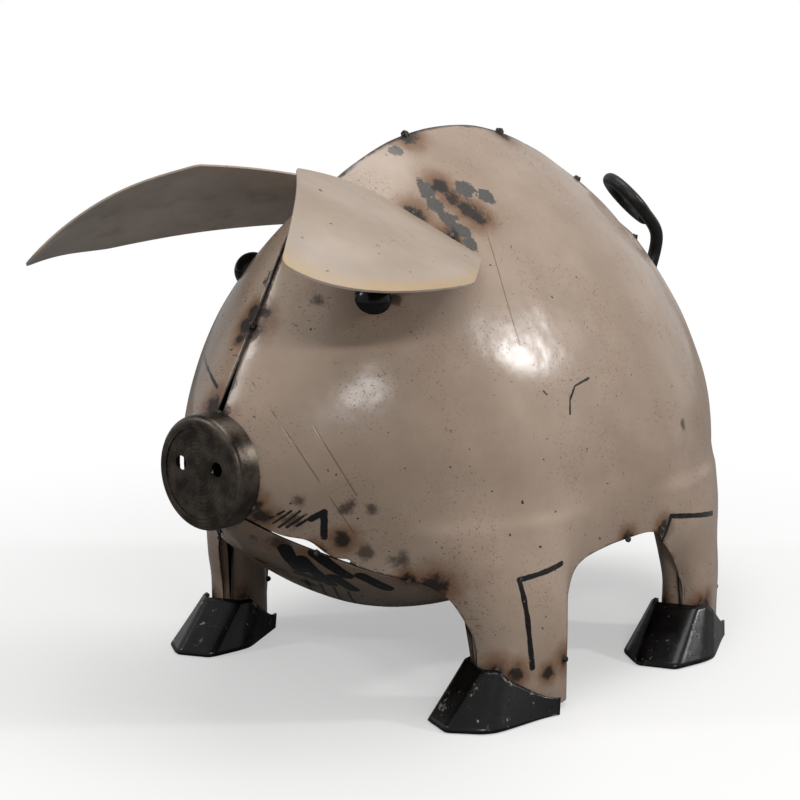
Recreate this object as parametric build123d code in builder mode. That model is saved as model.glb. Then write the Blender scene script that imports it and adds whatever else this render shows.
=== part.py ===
"""Pig figurine welded up from painted drum sheet, bent bar and pressed steel."""
import os
from collections import namedtuple
from math import copysign, cos, hypot, radians, sin

from build123d import *

# Driving dimensions in millimetres: the nose points to -Y, the pig's left is +X, the floor is z = 0
sheet = 1.2
hoof_sheet = 1.6
seam_gap = 0.8
seat = 0.2
belly_inset = 1.6
spine_lap = 1.4
max_wall = 3.0

# Snout: a pressed cup with two drilled nostrils, wider than the body's front edge by the inset
snout_radius = 35
snout_depth = 17
snout_wall = 1.5
snout_rounding = 4.5
snout_z = 158
snout_overlap = 2
nostril_radius = 4.4
nostril_offset = 15.3
nostril_rise = 4.5
nostril_depth = 8
dish_radius = 28
dish_depth = 0.8
nose_inset = 6.5
nose = snout_radius - nose_inset

# Body sections from nose to rump: place along Y, spine height, widest half width and its height,
# lower edge of the side panel (half width, height), belly height, sharpness of the spine and of the belly
Section = namedtuple("Section", "y top half_width wide_z edge_x edge_z belly spine_power belly_power")
body = (
    Section(-210, snout_z + nose, nose, snout_z, 0.58 * nose, snout_z - 0.9 * nose, snout_z - nose, 1.0, 2.0),
    Section(-178, 240, 62, 164, 34, 112, 99, 1.35, 2.0),
    Section(-143, 295, 90, 166, 68, 92, 77, 1.65, 2.0),
    Section(-98, 328, 113, 152, 106, 82, 52, 1.77, 2.0),
    Section(-38, 350, 132, 120, 129, 88, 44, 1.79, 1.7),
    Section(22, 355, 141, 106, 140, 93, 47, 1.8, 1.4),
    Section(82, 343, 139, 104, 138, 93, 53, 1.8, 1.4),
    Section(142, 317, 124, 106, 122, 93, 62, 1.85, 1.5),
    Section(202, 281, 88, 114, 85, 98, 80, 1.9, 1.7),
    Section(242, 249, 54, 126, 48, 110, 100, 1.9, 2.0),
    Section(254, 226, 29, 138, 25, 124, 118, 1.6, 2.0),
    Section(259, 200, 9, 158, 7, 146, 144, 1.2, 2.0),
)
spine_angles = (90, 80, 70, 58, 46, 34, 22, 10, 0)
edge_steps = (0.35, 0.7, 1.0)
belly_steps = (-1, -0.75, -0.5, -0.25, 0, 0.25, 0.5, 0.75, 1)

# Legs: centre, half sizes across and along the section and its turn in degrees at each height,
# from inside the body down into the collar of the hoof
hoof_height = 31
collar_grip = 4
Level = namedtuple("Level", "z x y half_x half_y turn")
front_turn = -24
rear_turn = 20
front_leg = (
    Level(125, 100, -76, 16, 38, front_turn),
    Level(95, 112, -74, 20, 37, front_turn),
    Level(65, 121, -71, 18, 33, front_turn),
    Level(46, 124, -69, 16, 30, front_turn),
    Level(hoof_height - collar_grip, 124, -69, 16, 30, front_turn),
)
rear_leg = (
    Level(125, 106, 118, 18, 40, rear_turn),
    Level(95, 115, 120, 20, 37, rear_turn),
    Level(65, 120, 123, 19, 33, rear_turn),
    Level(46, 122, 124, 18, 30, rear_turn),
    Level(hoof_height - collar_grip, 122, 124, 18, 30, rear_turn),
)
leg_roundness = 2.6
leg_seam_angle = 2.0
leg_curve_steps = 12

# Hooves: a collar round the foot of the leg and a longer footprint pushed forward into a toe
collar_depth = 6
hoof_play = 0.6
hoof_corner = 0.62
toe_corner = 0.42
front_foot = Level(0, 125, -91, 26, 42, front_turn)
rear_foot = Level(0, 127, 99, 29, 47, rear_turn)
hoof_spill = 1

# Ears: outline measured from the middle of the welded edge, along and across the ear; each ear has
# its own attitude and arch, the right one given before it is mirrored
Ear = namedtuple("Ear", "root along normal front_radius crown_reach crown_height")
left_ear_set = Ear(
    Vector(48, -61, 294), Vector(0.242, -0.970, 0.034), Vector(0.431, 0.138, 0.892), 112, 134, 20)
right_ear_set = Ear(
    Vector(48, -61, 306), Vector(0.241, -0.969, -0.059), Vector(0.458, 0.060, 0.887), 96, 140, 17)
ear_steps = (-40, 0, 40, 80, 120, 150, 180, 215)
ear_tuck = 24
ear_inner_root = -25
ear_inner_corner = (114, -51)
ear_tip = (205, 8)
ear_front_bow = (195, 48)
ear_outer_corner = (120, 81)
ear_outer_root = 24
ear_corner_radius = 9
ear_width = 150
ear_weld_reach = 90

# Eyes, tail and welds
eye_radius = 12
eye_sink = 4
left_eye_place = (-133, 258.5)
right_eye_place = (-130, 269)
tail_diameter = 9.5
tail_rise = ((0, 241, 224), (0, 250, 238), (2, 253.5, 252), (5, 250, 266))
tail_loop_centre = Vector(-13, 238, 291)
tail_loop_radius = 20.5
tail_loop_along = Vector(0.608, 0.352, -0.708)
tail_loop_across = Vector(0.642, -0.744, 0.182)
tail_loop_turn = (30, 340)
tail_loop_points = 11
tack_radius = 5.0
small_tack_radius = 3.5
tack_sink = 2.2
skin_step = 3
weld_lift = 0.8
tail_weld_radius = 8
spine_tacks = (-36, 62, 152, 226)
face_tacks = (-176,)
snout_tack_angles = (88, 326)
belly_tacks = (-168, -128, 22, 60, 172)
ear_tack_shares = (0.25, 0.75)

os.makedirs("parts", exist_ok=True)


def blend(y):
    """Body section at any place along Y, on a smooth curve through the listed sections."""
    k = max(i for i in range(len(body) - 1) if body[i].y <= y or i == 0)
    a, b = body[k], body[k + 1]
    before, after = body[max(k - 1, 0)], body[min(k + 2, len(body) - 1)]
    t = (y - a.y) / (b.y - a.y)
    values = []
    for p, q, r, s in zip(before, a, b, after):
        slope_q = (r - p) / (b.y - before.y) * (b.y - a.y)
        slope_r = (s - q) / (after.y - a.y) * (b.y - a.y)
        rise = r - q
        values.append(q + t * slope_q + t * t * (3 * rise - 2 * slope_q - slope_r)
                      + t * t * t * (slope_q + slope_r - 2 * rise))
    return Section(*values)._replace(y=y)


def side_curve(section):
    """Points of the left side from the spine down to the panel's lower edge."""
    points = []
    for angle in spine_angles:
        c, s = max(cos(radians(angle)), 0), sin(radians(angle))
        x = section.half_width * c ** section.spine_power
        points.append((x + seam_gap / 2, section.wide_z + (section.top - section.wide_z) * s))
    for t in edge_steps:
        x = section.half_width - (section.half_width - section.edge_x) * t * t
        points.append((x + seam_gap / 2, section.wide_z - (section.wide_z - section.edge_z) * t))
    return points


def belly_curve(section, inset):
    """Points of the belly from its right edge to its left edge."""
    half = section.edge_x - inset
    drop = section.edge_z - section.belly
    return [(half * u, section.belly + drop * abs(u) ** section.belly_power) for u in belly_steps]


def shifted(points, distance):
    """Move a curve sideways by a distance: positive is to the left of its direction."""
    moved = []
    for i, (x, z) in enumerate(points):
        ax, az = points[max(i - 1, 0)]
        bx, bz = points[min(i + 1, len(points) - 1)]
        length = hypot(bx - ax, bz - az)
        moved.append((x - (bz - az) / length * distance, z + (bx - ax) / length * distance))
    return moved


def strip_face(plane, outer, inner):
    """Face of a thin strip between two curves."""
    with BuildSketch(plane) as strip:
        with BuildLine():
            Spline(*outer)
            Line(outer[-1], inner[-1])
            Spline(*inner)
            Line(inner[0], outer[0])
        make_face()
    return strip.sketch.face()


def wall(k, taper):
    """Sheet thickness measured across section k, allowing for how fast the body tapers there."""
    before, after = body[max(k - 1, 0)], body[min(k + 1, len(body) - 1)]
    slope = (getattr(after, taper) - getattr(before, taper)) / (after.y - before.y)
    return min(sheet * hypot(1, slope), max_wall)


def section_plane(y):
    """Plane across the body, with X across and Z up."""
    return Plane((0, y, 0), x_dir=(1, 0, 0), z_dir=(0, -1, 0))


def body_block(offset):
    """Solid body, grown by an offset, for cutting what stands on or under it."""
    with BuildPart() as block:
        for section in body:
            left = shifted(side_curve(section), offset)
            left[0] = (seam_gap / 2, left[0][1])
            right = [(-x, z) for x, z in left]
            under = shifted(belly_curve(section, 0), -offset)
            under[0], under[-1] = right[-1], left[-1]
            with BuildSketch(section_plane(section.y)):
                with BuildLine():
                    Spline(*left)
                    Spline(*under)
                    Spline(*right)
                    Line(left[0], right[0])
                make_face()
        loft()
    return block.part


def belly_strip(outer, inner):
    """Belly sheet grown outward by a distance and inward by a number of sheets."""
    faces = []
    for k, section in enumerate(body[:-1]):
        curve = belly_curve(section, wall(k, "half_width") + belly_inset)
        top = shifted(curve, inner * wall(k, "belly"))
        faces.append(strip_face(section_plane(section.y), shifted(curve, -outer), top))
    with BuildPart() as strip:
        loft(faces)
    return strip.part


def turned(level, across, along):
    """Point of a leg or hoof section from its distances across and along."""
    c, s = cos(radians(level.turn)), sin(radians(level.turn))
    return level.x + across * c - along * s, level.y + across * s + along * c


def leg_curve(level, start, end, inset):
    """Part of a leg's rounded section between two angles."""
    power = 2 / leg_roundness
    points = []
    for i in range(leg_curve_steps + 1):
        angle = radians(start + (end - start) * i / leg_curve_steps)
        c, s = cos(angle), sin(angle)
        across = (level.half_x - inset) * copysign(abs(c) ** power, c)
        along = (level.half_y - inset) * copysign(abs(s) ** power, s)
        points.append(turned(level, across, along))
    return points


def leg_sheet(levels, start, end):
    """Bent sheet that wraps one half of a leg."""
    faces = []
    for level in levels:
        curves = [leg_curve(level, start, end, inset) for inset in (0, sheet)]
        faces.append(strip_face(Plane.XY.offset(level.z), *curves))
    with BuildPart() as wrap:
        loft(faces)
    return wrap.part


def leg_block(levels):
    """Filled leg, for cutting the welds round its foot."""
    faces = []
    for level in levels:
        with BuildSketch(Plane.XY.offset(level.z)) as filled:
            with BuildLine():
                Spline(*leg_curve(level, 0, 360, -seat)[:-1], periodic=True)
            make_face()
        faces.append(filled.sketch.face())
    with BuildPart() as block:
        loft(faces)
    return block.part


def largest(shape):
    """Biggest solid left after a cut."""
    return shape.solids().sort_by(SortBy.VOLUME)[-1]


def hoof_outline(level, grow, front_corner):
    """Eight corners of a hoof section, cut back more at the toe."""
    w, d = level.half_x + grow, level.half_y + grow
    f, b = front_corner, hoof_corner
    corners = ((f, -1), (1, -f), (1, b), (b, 1), (-b, 1), (-1, b), (-1, -f), (-f, -1))
    return [turned(level, w * u, d * v) for u, v in corners]


def hoof_block(collar, foot, grow, spill):
    """Filled hoof: a footprint tapering up to a straight collar, run past both ends by a spill."""
    rows = (
        (-spill, foot, toe_corner),
        (hoof_height - collar_depth, collar, hoof_corner),
        (hoof_height + spill, collar, hoof_corner),
    )
    with BuildPart() as block:
        for z, level, corner in rows:
            with BuildSketch(Plane.XY.offset(z)):
                Polygon(*hoof_outline(level, grow, corner), align=None)
        loft(ruled=True)
    return block.part


def skin_point(y, z, side=1):
    """Point on the body at a height, and the direction straight out of it."""
    def width(at_y, at_z):
        curve = side_curve(blend(at_y))
        for (ax, az), (bx, bz) in zip(curve, curve[1:]):
            if bz <= at_z <= az:
                return ax + (bx - ax) * (az - at_z) / (az - bz)
        return 0
    step = skin_step
    x = width(y, z)
    slope_y = (width(y + step, z) - width(y - step, z)) / (2 * step)
    slope_z = (width(y, z + step) - width(y, z - step)) / (2 * step)
    return Vector(side * x, y, z), Vector(side, -slope_y, -slope_z).normalized()


def tack(place, radius, *cutters):
    """One blob of weld metal, trimmed by the pieces it joins."""
    blob = Pos(*place) * Sphere(radius)
    for cutter in cutters:
        blob = blob - cutter
    return largest(blob)


def seam_tack_place(y, z):
    """Place of a weld blob on the mid seam, a little under the surface."""
    section = blend(y)
    return (0, y, section.top + z)


def arch_height(ear, reach):
    """Height of an ear's arch above its root plane."""
    past = reach - ear.crown_reach
    if past < 0:
        return ear.crown_height * (1 - (past / ear.crown_reach) ** 2)
    return ear.crown_height - past * past / (2 * ear.front_radius)


def ear_flap(ear):
    """Arched sheet cut to the ear's outline and trimmed where it meets the body."""
    plane = Plane(ear.root, x_dir=ear.along, z_dir=ear.normal)
    profile = [(reach, arch_height(ear, reach)) for reach in ear_steps]
    profile_plane = Plane(ear.root, x_dir=plane.x_dir, z_dir=-plane.y_dir)
    with BuildPart() as flap:
        extrude(strip_face(profile_plane, profile, shifted(profile, -sheet)), amount=ear_width, both=True)
        with BuildSketch(plane):
            with BuildLine():
                inner_root = (-ear_tuck, ear_inner_root)
                outer_root = (-ear_tuck, ear_outer_root)
                Polyline(ear_tip, ear_inner_corner, inner_root, outer_root, ear_outer_corner)
                ThreePointArc(ear_outer_corner, ear_front_bow, ear_tip)
            make_face()
            fillet(vertices().group_by(Axis.X)[1:], ear_corner_radius)
        extrude(amount=ear_width, both=True, mode=Mode.INTERSECT)
        add(seat_block, mode=Mode.SUBTRACT)
    return largest(flap.part)


def ear_tacks(ear, flap):
    """Weld blobs where the ear's sheet enters the body."""
    plane = Plane(ear.root, x_dir=ear.along, z_dir=ear.normal)
    blobs = []
    for share in ear_tack_shares:
        across = ear_inner_root + (ear_outer_root - ear_inner_root) * share
        line = [plane.from_local_coords(Vector(reach, across, arch_height(ear, reach)))
                for reach in range(-ear_tuck, ear_weld_reach)]
        place = min(line, key=lambda p: abs(p.X - skin_point(p.Y, p.Z)[0].X))
        blobs.append(tack(place, tack_radius, seat_block, flap))
    return blobs


def export(part, name):
    """Write one finished piece as a STEP file."""
    part.label = name
    export_step(part, f"parts/{name}.step")


# Blocks that trim the pieces against the body
seat_block = body_block(seat)
gap_block = body_block(seam_gap)
half_sheet_block = body_block(-sheet / 2)
belly_block = belly_strip(seam_gap, 2)
half_turn = 90 - leg_seam_angle

legs = {"front": front_leg, "rear": rear_leg}
feet = {"front": front_foot, "rear": rear_foot}
outer_legs = {}
inner_legs = {}
for name, levels in legs.items():
    outer_legs[name] = largest(leg_sheet(levels, -half_turn, half_turn) - half_sheet_block - belly_block)
    inner_legs[name] = largest(leg_sheet(levels, 180 - half_turn, 180 + half_turn) - gap_block)

# Side panels: one dished sheet each, running down into the outer half of a front and a rear leg
panel_faces = []
for k, section in enumerate(body):
    curve = side_curve(section)
    thickness = wall(k, "half_width")
    inner = shifted(curve, -thickness)
    inner[0] = (seam_gap / 2, curve[0][1] - spine_lap * thickness)
    panel_faces.append(strip_face(section_plane(section.y), curve, inner))

with BuildPart() as left_side_panel:
    loft(panel_faces)
    add(outer_legs["front"])
    add(outer_legs["rear"])
export(left_side_panel.part, "left_side_panel")

with BuildPart() as right_side_panel:
    mirror(left_side_panel.part, about=Plane.YZ)
export(right_side_panel.part, "right_side_panel")

# Belly sheet from the chin to the rump
belly_sheet = belly_strip(0, 1)
with BuildPart() as belly_panel:
    add(belly_sheet)
export(belly_panel.part, "belly_panel")

# Inner half of each leg, hooves and the welds between them
for name, levels in legs.items():
    collar = levels[-1]
    shell = hoof_block(collar, feet[name], hoof_play + hoof_sheet, 0)
    hollow = hoof_block(collar, feet[name], hoof_play, hoof_spill)
    filled_leg = leg_block(levels)
    weld_z = hoof_height + weld_lift
    rim = hoof_outline(collar, hoof_play + hoof_sheet / 2, hoof_corner)
    middles = [((ax + bx) / 2, (ay + by) / 2) for (ax, ay), (bx, by) in zip(rim, rim[1:] + rim[:1])]
    hoof_tacks = [tack((x, y, weld_z), small_tack_radius, filled_leg, shell) for x, y in middles[::2]]

    with BuildPart() as left_leg_inner:
        add(inner_legs[name])
    export(left_leg_inner.part, f"{name}_left_leg_inner")

    with BuildPart() as right_leg_inner:
        mirror(inner_legs[name], about=Plane.YZ)
    export(right_leg_inner.part, f"{name}_right_leg_inner")

    with BuildPart() as left_hoof:
        add(shell)
        add(hollow, mode=Mode.SUBTRACT)
    export(left_hoof.part, f"{name}_left_hoof")

    with BuildPart() as right_hoof:
        mirror(left_hoof.part, about=Plane.YZ)
    export(right_hoof.part, f"{name}_right_hoof")

    with BuildPart() as left_hoof_welds:
        for blob in hoof_tacks:
            add(blob)
    export(left_hoof_welds.part, f"{name}_left_hoof_welds")

    with BuildPart() as right_hoof_welds:
        mirror(left_hoof_welds.part, about=Plane.YZ)
    export(right_hoof_welds.part, f"{name}_right_hoof_welds")

# Snout cup over the front opening of the body
snout_back = body[0].y + snout_overlap
snout_front = snout_back - snout_depth
with BuildPart() as snout_cap:
    with BuildSketch(section_plane(snout_front)):
        with Locations((0, snout_z)):
            Circle(snout_radius)
    extrude(amount=-snout_depth)
    fillet(edges().group_by(Axis.Y)[0], snout_rounding)
    with BuildSketch(section_plane(snout_front + snout_wall + dish_depth)):
        with Locations((0, snout_z)):
            Circle(snout_radius - snout_wall)
    extrude(amount=-snout_depth, mode=Mode.SUBTRACT)
    with BuildSketch(section_plane(snout_front)):
        with Locations((0, snout_z)):
            Circle(dish_radius)
    extrude(amount=-dish_depth, mode=Mode.SUBTRACT)
    with BuildSketch(section_plane(snout_front)):
        nostril_z = snout_z + nostril_rise
        with Locations((-nostril_offset, nostril_z), (nostril_offset, nostril_z)):
            Circle(nostril_radius)
    extrude(amount=-nostril_depth, mode=Mode.SUBTRACT)
export(snout_cap.part, "snout_cap")

# Ears: arched flaps trimmed to the body, with the weld blobs along their roots
left_ear_flap = ear_flap(left_ear_set)
right_ear_flap = ear_flap(right_ear_set)
with BuildPart() as left_ear:
    add(left_ear_flap)
export(left_ear.part, "left_ear")

with BuildPart() as right_ear:
    mirror(right_ear_flap, about=Plane.YZ)
export(right_ear.part, "right_ear")

left_ear_blobs = ear_tacks(left_ear_set, left_ear_flap)
with BuildPart() as left_ear_welds:
    for blob in left_ear_blobs:
        add(blob)
export(left_ear_welds.part, "left_ear_weld_tacks")

right_ear_blobs = ear_tacks(right_ear_set, right_ear_flap)
with BuildPart() as right_ear_welds:
    for blob in right_ear_blobs:
        mirror(blob, about=Plane.YZ)
export(right_ear_welds.part, "right_ear_weld_tacks")

# Eyes: polished domes seated on the face
for side, name, place in ((1, "left_eye", left_eye_place), (-1, "right_eye", right_eye_place)):
    eye_skin, eye_out = skin_point(*place, side)
    with BuildPart() as eye:
        with Locations(eye_skin - eye_out * eye_sink):
            Sphere(eye_radius)
        add(seat_block, mode=Mode.SUBTRACT)
    export(eye.part, name)

# Tail: round bar that rises from the rump and makes one loose turn
loop_points = []
for i in range(tail_loop_points):
    turn = tail_loop_turn[0] + (tail_loop_turn[1] - tail_loop_turn[0]) * i / (tail_loop_points - 1)
    reach = tail_loop_along * cos(radians(turn)) + tail_loop_across * sin(radians(turn))
    loop_points.append(tail_loop_centre + reach * tail_loop_radius)
with BuildPart() as tail:
    with BuildLine() as tail_path:
        Spline(*tail_rise, *loop_points)
    with BuildSketch(Plane(tail_path.line @ 0, z_dir=tail_path.line % 0)):
        Circle(tail_diameter / 2)
    sweep()
    add(seat_block, mode=Mode.SUBTRACT)
export(tail.part, "tail")

# Weld tacks in groups, one group to a seam
spine_blobs = [tack(seam_tack_place(y, -tack_sink), tack_radius, seat_block) for y in spine_tacks]
face_blobs = [tack(seam_tack_place(y, -tack_sink), tack_radius, seat_block) for y in face_tacks]
tail_blobs = [tack(place, tail_weld_radius, seat_block, tail.part) for place in tail_rise[1:2]]
snout_blobs = []
for angle in snout_tack_angles:
    x = (snout_radius - weld_lift) * cos(radians(angle))
    z = snout_z + (snout_radius - weld_lift) * sin(radians(angle))
    place = (x, snout_back + weld_lift, z)
    snout_blobs.append(tack(place, small_tack_radius, snout_cap.part, seat_block))
snout_blobs.append(mirror(snout_blobs[-1], about=Plane.YZ))
belly_blobs = []
for y in belly_tacks:
    section = blend(y)
    place = (section.edge_x, y, section.edge_z)
    belly_blobs.append(tack(place, small_tack_radius, seat_block, *outer_legs.values()))

weld_groups = {
    "spine_weld_tacks": spine_blobs,
    "face_weld_tacks": face_blobs,
    "tail_weld": tail_blobs,
    "snout_weld_tacks": snout_blobs,
    "belly_left_weld_tacks": belly_blobs,
}
for name, blobs in weld_groups.items():
    with BuildPart() as weld_group:
        for blob in blobs:
            add(blob)
    export(weld_group.part, name)
    if "left" in name:
        with BuildPart() as far_weld_group:
            mirror(weld_group.part, about=Plane.YZ)
        export(far_weld_group.part, name.replace("left", "right"))
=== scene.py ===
import math

import bmesh
import bpy
import numpy as np
from mathutils import Matrix, Vector, noise
from mathutils.bvhtree import BVHTree


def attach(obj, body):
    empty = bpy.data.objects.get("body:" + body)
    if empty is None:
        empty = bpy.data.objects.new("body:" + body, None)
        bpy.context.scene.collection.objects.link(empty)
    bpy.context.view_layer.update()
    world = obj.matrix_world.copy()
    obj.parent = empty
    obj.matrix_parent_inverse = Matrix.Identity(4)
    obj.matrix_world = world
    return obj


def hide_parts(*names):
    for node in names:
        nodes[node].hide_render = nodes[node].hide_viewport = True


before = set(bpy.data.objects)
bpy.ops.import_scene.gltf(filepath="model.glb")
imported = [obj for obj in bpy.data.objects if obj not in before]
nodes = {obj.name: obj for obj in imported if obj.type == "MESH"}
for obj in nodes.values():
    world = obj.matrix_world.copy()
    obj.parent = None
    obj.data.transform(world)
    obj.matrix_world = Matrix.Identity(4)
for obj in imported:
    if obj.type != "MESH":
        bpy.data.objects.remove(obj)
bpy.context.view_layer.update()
scene = bpy.context.scene
scene.view_settings.view_transform = "Standard"

# Shapes below are worked out in millimetres and handed to Blender in metres
MM = 0.001
PER_METRE = 1000

# Camera: the photograph's viewing angle, 800 x 800
AZIMUTH, ELEVATION = math.radians(40.8), math.radians(10.5)
TARGET = Vector((-0.003, -0.038, 0.176))
DISTANCE = 1.324
LENS, SENSOR, PICTURE_SIDE = 90, 36, 800
FOCAL = LENS / SENSOR * PICTURE_SIDE
cam_back = Vector((math.sin(AZIMUTH) * math.cos(ELEVATION),
                   -math.cos(AZIMUTH) * math.cos(ELEVATION), math.sin(ELEVATION)))
cam_right = Vector((math.cos(AZIMUTH), math.sin(AZIMUTH), 0))
cam_up = cam_back.cross(cam_right)
cam_place = TARGET + DISTANCE * cam_back
cam_data = bpy.data.cameras.new("camera")
cam_data.lens, cam_data.sensor_width = LENS, SENSOR
camera = bpy.data.objects.new("camera", cam_data)
scene.collection.objects.link(camera)
camera.matrix_world = Matrix((
    (cam_right.x, cam_up.x, cam_back.x, cam_place.x),
    (cam_right.y, cam_up.y, cam_back.y, cam_place.y),
    (cam_right.z, cam_up.z, cam_back.z, cam_place.z),
    (0, 0, 0, 1)))
scene.camera = camera


def srgb(r, g, b):
    """A linear colour from 8-bit screen values."""
    lin = [c / 255 / 12.92 if c <= 10 else ((c / 255 + 0.055) / 1.055) ** 2.4 for c in (r, g, b)]
    return (*lin, 1)


class Graph:
    """Short forms for building a node tree."""

    def __init__(self, tree):
        self.tree = tree

    def node(self, kind, **settings):
        made = self.tree.nodes.new(kind)
        for key, value in settings.items():
            setattr(made, key, value)
        return made

    def put(self, socket, value):
        """Link a socket to another one, or set its constant."""
        if isinstance(value, bpy.types.NodeSocket):
            self.tree.links.new(value, socket)
        else:
            socket.default_value = value

    def math(self, kind, a, b=0.0, c=0.0):
        made = self.node("ShaderNodeMath", operation=kind)
        for socket, value in zip(made.inputs, (a, b, c)):
            self.put(socket, value)
        return made.outputs[0]

    def step(self, value, low, high):
        """0 below low, 1 above high, smooth between."""
        made = self.node("ShaderNodeMapRange", interpolation_type="SMOOTHSTEP")
        self.put(made.inputs["Value"], value)
        self.put(made.inputs["From Min"], low)
        self.put(made.inputs["From Max"], high)
        return made.outputs["Result"]

    def fall(self, value, low, high):
        """1 below low, 0 above high, smooth between."""
        return self.math("SUBTRACT", 1.0, self.step(value, low, high))

    def shader_mix(self, share, first, second):
        """First shader where share is 0, second where it is 1."""
        made = self.node("ShaderNodeMixShader")
        for socket, value in zip(made.inputs, (share, first, second)):
            self.put(socket, value)
        return made.outputs[0]


class Look(Graph):
    """A node material under construction."""

    def __init__(self, name):
        self.material = bpy.data.materials.new(name)
        self.material.use_nodes = True
        super().__init__(self.material.node_tree)
        self.bsdf = self.tree.nodes["Principled BSDF"]
        self.place = self.node("ShaderNodeTexCoord").outputs["Object"]

    def parts(self, vector):
        """The x, y and z of a vector socket, by name."""
        made = self.node("ShaderNodeSeparateXYZ")
        self.put(made.inputs[0], vector)
        return made.outputs

    def noise(self, size, detail=4, rough=0.6, stretch=None, seed=0.0):
        """Noise from 0 to 1 whose lumps are about size mm across."""
        where = self.place
        if stretch:
            turn = self.node("ShaderNodeMapping")
            self.put(turn.inputs["Vector"], where)
            self.put(turn.inputs["Rotation"], stretch[0])
            self.put(turn.inputs["Scale"], stretch[1])
            where = turn.outputs["Vector"]
        made = self.node("ShaderNodeTexNoise", noise_dimensions="4D")
        self.put(made.inputs["Vector"], where)
        self.put(made.inputs["W"], seed)
        self.put(made.inputs["Scale"], PER_METRE / size)
        self.put(made.inputs["Detail"], detail)
        self.put(made.inputs["Roughness"], rough)
        return made.outputs["Fac"]

    def mix(self, share, a, b):
        """Colour a where share is 0, b where it is 1."""
        made = self.node("ShaderNodeMix", data_type="RGBA")
        self.put(made.inputs["Factor"], share)
        self.put(made.inputs[6], a)
        self.put(made.inputs[7], b)
        return made.outputs[2]

    def coat(self, colour, top, share, weight=1.0):
        """A colour with another laid over it, as dense as its weight where share is 1."""
        return self.mix(self.math("MULTIPLY", share, weight), colour, top)

    def bump(self, height, distance, strength=1.0, under=None):
        made = self.node("ShaderNodeBump")
        self.put(made.inputs["Height"], height)
        self.put(made.inputs["Distance"], distance)
        self.put(made.inputs["Strength"], strength)
        if under:
            self.put(made.inputs["Normal"], under)
        return made.outputs["Normal"]

    def finish(self, **sockets):
        for name, value in sockets.items():
            self.put(self.bsdf.inputs[name.replace("_", " ")], value)
        return self.material


# Body of the pig in millimetres, one row per station from nose to rump: place along y, spine height,
# half width and its height, lower panel edge (half width, height), belly height, spine and belly powers
STATIONS = np.array([
    (-210, 186.5, 28.5, 158, 16.5, 132.3, 129.5, 1.0, 2.0), (-178, 240, 62, 164, 34, 112, 99, 1.35, 2.0),
    (-143, 295, 90, 166, 68, 92, 77, 1.65, 2.0), (-98, 328, 113, 152, 106, 82, 52, 1.77, 2.0),
    (-38, 350, 132, 120, 129, 88, 44, 1.79, 1.7), (22, 355, 141, 106, 140, 93, 47, 1.8, 1.4),
    (82, 343, 139, 104, 138, 93, 53, 1.8, 1.4), (142, 317, 124, 106, 122, 93, 62, 1.85, 1.5),
    (202, 281, 88, 114, 85, 98, 80, 1.9, 1.7), (242, 249, 54, 126, 48, 110, 100, 1.9, 2.0),
    (254, 226, 29, 138, 25, 124, 118, 1.6, 2.0), (259, 196, 0.7, 162, 0.6, 150, 148, 1.2, 2.0)])
# Legs from the hoof up: height, centre x and y, half sizes across and along
FRONT_LEG = np.array([(27, 124, -69, 16, 30), (46, 124, -69, 16, 30), (65, 121, -71, 18, 33),
                      (95, 112, -74, 20, 37), (125, 100, -76, 16, 38)])
REAR_LEG = np.array([(27, 122, 124, 18, 30), (46, 122, 124, 18, 30), (65, 120, 123, 19, 33),
                     (95, 115, 120, 20, 37), (125, 106, 118, 18, 40)])
# Each leg's rows, its turn, and the toe's centre x and y and half sizes on the floor
LEGS = {"front": (FRONT_LEG, math.radians(-24), (125, -91, 26, 42)),
        "rear": (REAR_LEG, math.radians(20), (127, 99, 29, 47))}
LEG_POWER = 2.6
# Height of the leg sheets' lower ends
LEG_FOOT = 4.0
# The legs close over above this height, by this much for each millimetre
LEG_CAP, LEG_CAP_SLOPE = 118, 0.6
LEG_BLEND = 22.0
SHEET = 1.2
# Cut edge of the side panel: gap to the belly sheet, reach of the leg flaps, ends and seam
EDGE_GAP, FLAP_INSET, FLAP_REACH, FLAP_BLEND = 1.0, 0.5, 14.0, 14.0
NOSE_END, RUMP_END = -210, 258.95
SEAM, TEAR_WIDTH, TEAR_START, TEAR_LENGTH = 0.6, 2.2, -186, 24
# Slit at the mouth, as two humps in the edge: place along y, half length and lift
MOUTH_SLIT = ((-174, 8, 3.4), (-156, 3, 2.2))


def smooth(t):
    t = np.clip(t, 0, 1)
    return t * t * (3 - 2 * t)


def hermite(xs, rows, q):
    """Smooth curve through the rows at places q."""
    q = np.clip(q, xs[0], xs[-1])
    slopes = np.gradient(rows, xs, axis=0)
    k = np.clip(np.searchsorted(xs, q, side="right") - 1, 0, len(xs) - 2)
    h = (xs[k + 1] - xs[k])[..., None]
    t = (q - xs[k])[..., None] / h
    a, b, m, n = rows[k], rows[k + 1], slopes[k] * h, slopes[k + 1] * h
    return a + t * m + t * t * (3 * (b - a) - 2 * m - n) + t ** 3 * (2 * (a - b) + m + n)


def station(y):
    """Columns of the body table at places y, each with y's shape."""
    found = hermite(STATIONS[:, 0], STATIONS[:, 1:], np.asarray(y, float))
    return [found[..., i] for i in range(found.shape[-1])]


def side_x(y, z):
    """Half width of the side panel at a height, run on past the spine and the lower edge."""
    top, wide, wide_z, edge_x, edge_z, _, power, _ = station(y)
    s = (z - wide_z) / (top - wide_z)
    room = 1 - s * s
    upper = wide * np.sign(room) * np.abs(room) ** (power / 2)
    t = (wide_z - z) / (wide_z - edge_z)
    return np.where(z > wide_z, upper, wide - (wide - edge_x) * t * t)


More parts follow.
